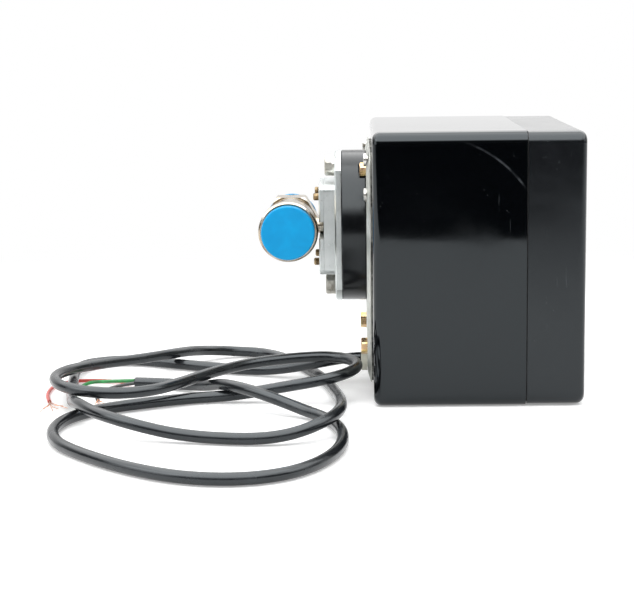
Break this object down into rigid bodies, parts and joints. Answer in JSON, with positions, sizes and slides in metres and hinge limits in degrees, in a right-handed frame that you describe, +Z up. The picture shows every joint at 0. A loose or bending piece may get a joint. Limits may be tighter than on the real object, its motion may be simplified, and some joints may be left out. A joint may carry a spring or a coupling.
{
  "type": "motorized valve actuator",
  "caption": "Quarter-turn electric actuator in a black case, bolted through a flange stack to a small two-way ball valve with blue port caps and a coiled lead.",
  "frame": {"origin": "middle of the actuator and valve, without the cable, on the floor that the housing's lower side rests on", "axes": "+X runs along the drive shaft from the valve to the housing's lid, +Y along the valve's pipe away from the viewer, +Z up"},
  "size_m": [0.2866, 0.2995, 0.142],
  "materials": {
    "housing_black": "moulded black plastic with a high gloss",
    "lid_black": "satin black plastic with a fine grain",
    "gasket_grey": "grey sealing sheet",
    "black_rubber": "black rubber",
    "zinc_plate": "zinc-plated steel sheet",
    "yellow_zinc": "yellow zinc-plated steel",
    "steel": "plain machined steel",
    "nickel_screw": "nickel-plated steel",
    "spacer_black": "black coated aluminium",
    "aluminium": "fine brushed aluminium",
    "valve_nickel": "nickel-plated brass",
    "valve_brass": "turned brass",
    "ptfe": "white fluoropolymer",
    "cap_blue": "bright blue soft plastic",
    "bronze": "sintered bronze",
    "motor_zinc": "zinc-plated can",
    "cam_plastic": "orange plastic",
    "switch_plastic": "black plastic",
    "board_green": "fibre-glass board with green mask",
    "terminal_green": "green plastic",
    "component_black": "black moulded parts",
    "gland_cream": "cream plastic",
    "cable_black": "semi-gloss black sheath",
    "core_green": "green insulation",
    "core_red": "red insulation",
    "core_black": "black insulation",
    "copper": "bare copper"
  },
  "bodies": {
    "housing": {"adapter_plate": "aluminium", "base_gasket": "gasket_grey", "base_plate": "zinc_plate", "base_plate_screws": "nickel_screw", "board_components": "component_black", "board_posts": "nickel_screw", "cable_gland": "gland_cream", "circuit_board": "board_green", "core_black": "core_black", "core_green": "core_green", "core_red": "core_red", "core_strands": "copper", "flange_bolts": "steel", "flange_washers": "steel", "frame_bolts": "yellow_zinc", "frame_nuts": "yellow_zinc", "frame_pillars": "steel", "front_gear_plate": "motor_zinc", "gear_motor": "motor_zinc", "gland_nut": "gland_cream", "housing_body": "housing_black", "housing_lid": "lid_black", "idler_axle": "steel", "inner_leads": "cable_black", "lid_gasket": "black_rubber", "lid_screws": "nickel_screw", "limit_switches": "switch_plastic", "m3_screws": "nickel_screw", "pad_screws": "valve_brass", "power_cable": "cable_black", "rear_bush": "bronze", "rear_gear_plate": "motor_zinc", "retaining_plate": "aluminium", "seat_rings": "ptfe", "shaft_bush": "bronze", "spacer_flange": "spacer_black", "spacer_screws": "nickel_screw", "stop_posts": "steel", "switch_bracket": "motor_zinc", "switch_screws": "nickel_screw", "terminal_block": "terminal_green", "valve_body": "valve_nickel", "valve_end": "valve_nickel", "valve_pad_plate": "aluminium"},
    "output": {"drive_shaft": "steel", "shaft_clips": "steel", "output_gear": "steel", "stop_pin": "steel", "limit_cam_open": "cam_plastic", "limit_cam_closed": "cam_plastic", "valve_stem": "valve_brass", "stem_o_rings": "black_rubber", "valve_ball": "valve_nickel"},
    "idler": {"idler_gear": "steel"},
    "motor_rotor": {"motor_pinion": "steel"},
    "near_cap": {"port_cap_near": "cap_blue"},
    "far_cap": {"port_cap_far": "cap_blue"},
    "lever_open": {"switch_lever_open": "steel"},
    "lever_closed": {"switch_lever_closed": "steel"}
  },
  "joints": [
    {"name": "output_turn", "type": "hinge", "parent": "housing", "child": "output", "pos_m": [0, 0, 0.0865], "axis": [1, 0, 0], "range_deg": [0, 90]},
    {"name": "idler_turn", "type": "hinge", "parent": "housing", "child": "idler", "pos_m": [0, 0.024, 0.0545], "axis": [1, 0, 0], "range_deg": [-270, 0]},
    {"name": "motor_turn", "type": "hinge", "parent": "housing", "child": "motor_rotor", "pos_m": [0, 0.0096, 0.0353], "axis": [1, 0, 0], "range_deg": [0, 540]},
    {"name": "near_cap_pull", "type": "slide", "parent": "housing", "child": "near_cap", "axis": [0, -1, 0], "range_m": [0, 0.06]},
    {"name": "far_cap_pull", "type": "slide", "parent": "housing", "child": "far_cap", "axis": [0, 1, 0], "range_m": [0, 0.06]},
    {"name": "lever_open_press", "type": "hinge", "parent": "housing", "child": "lever_open", "pos_m": [0.0152, 0.0086, 0.1006], "axis": [1, 0, 0], "range_deg": [-4, 0], "stiffness_Nm_per_rad": 0.01},
    {"name": "lever_closed_press", "type": "hinge", "parent": "housing", "child": "lever_closed", "pos_m": [0.0252, 0.0086, 0.1006], "axis": [1, 0, 0], "range_deg": [-4, 0], "stiffness_Nm_per_rad": 0.01}
  ],
  "couplings": [
    {"joint": "idler_turn", "follows": "output_turn", "ratio": -3},
    {"joint": "motor_turn", "follows": "output_turn", "ratio": 6}
  ]
}
